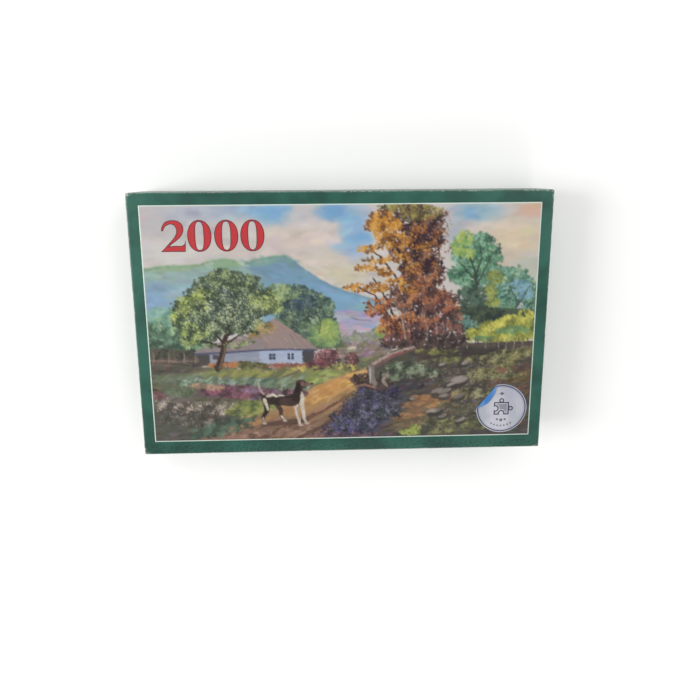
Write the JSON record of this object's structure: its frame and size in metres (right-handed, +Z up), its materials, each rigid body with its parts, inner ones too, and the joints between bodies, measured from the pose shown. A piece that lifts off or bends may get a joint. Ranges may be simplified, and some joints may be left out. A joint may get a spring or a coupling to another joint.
{
  "type": "boxed jigsaw puzzle",
  "caption": "Rectangular telescoping cardboard box with a printed landscape lid, a wrapped tray, and sealed film bags of loose jigsaw pieces inside; the lid lifts off.",
  "frame": {"origin": "middle of the tray's underside, where the closed box rests", "axes": "+Z up through the lid; +X along the long side, to the right of the upright cover; +Y towards the cover's top edge"},
  "size_m": [0.43, 0.28, 0.0602],
  "materials": {
    "greyboard": "matte",
    "cover_paper": "satin",
    "tray_paper": "satin",
    "stay_paper": "matte",
    "label_paper": "satin",
    "bag_film": "gloss",
    "puzzle_board": "satin"
  },
  "bodies": {
    "tray": {"tray_board": "greyboard", "tray_wrap": "tray_paper", "tray_corner_stay_front_left": "stay_paper", "tray_corner_stay_front_right": "stay_paper", "tray_corner_stay_back_right": "stay_paper", "tray_corner_stay_back_left": "stay_paper"},
    "lid": {"lid_board": "greyboard", "lid_wrap": "cover_paper", "lid_corner_stay_front_left": "stay_paper", "lid_corner_stay_front_right": "stay_paper", "lid_corner_stay_back_right": "stay_paper", "lid_corner_stay_back_left": "stay_paper", "cover_label": "label_paper"},
    "bag_1": {"bag_1_film": "bag_film", "bag_1_corner_pieces": "puzzle_board", "bag_1_edge_pieces": "puzzle_board", "bag_1_inner_pieces": "puzzle_board"},
    "bag_2": {"bag_2_film": "bag_film", "bag_2_corner_pieces": "puzzle_board", "bag_2_edge_pieces": "puzzle_board", "bag_2_inner_pieces": "puzzle_board"}
  },
  "joints": [
    {"name": "lid_lift", "type": "slide", "parent": "tray", "child": "lid", "axis": [0, 0, 1], "range_m": [0, 0.16]},
    {"name": "bag_1_lift", "type": "slide", "parent": "tray", "child": "bag_1", "axis": [0, 0, 1], "range_m": [0, 0.072]},
    {"name": "bag_2_lift", "type": "slide", "parent": "tray", "child": "bag_2", "axis": [0, 0, 1], "range_m": [0, 0.072]}
  ],
  "couplings": [
    {"joint": "bag_1_lift", "follows": "lid_lift", "ratio": 0.45},
    {"joint": "bag_2_lift", "follows": "lid_lift", "ratio": 0.45}
  ]
}
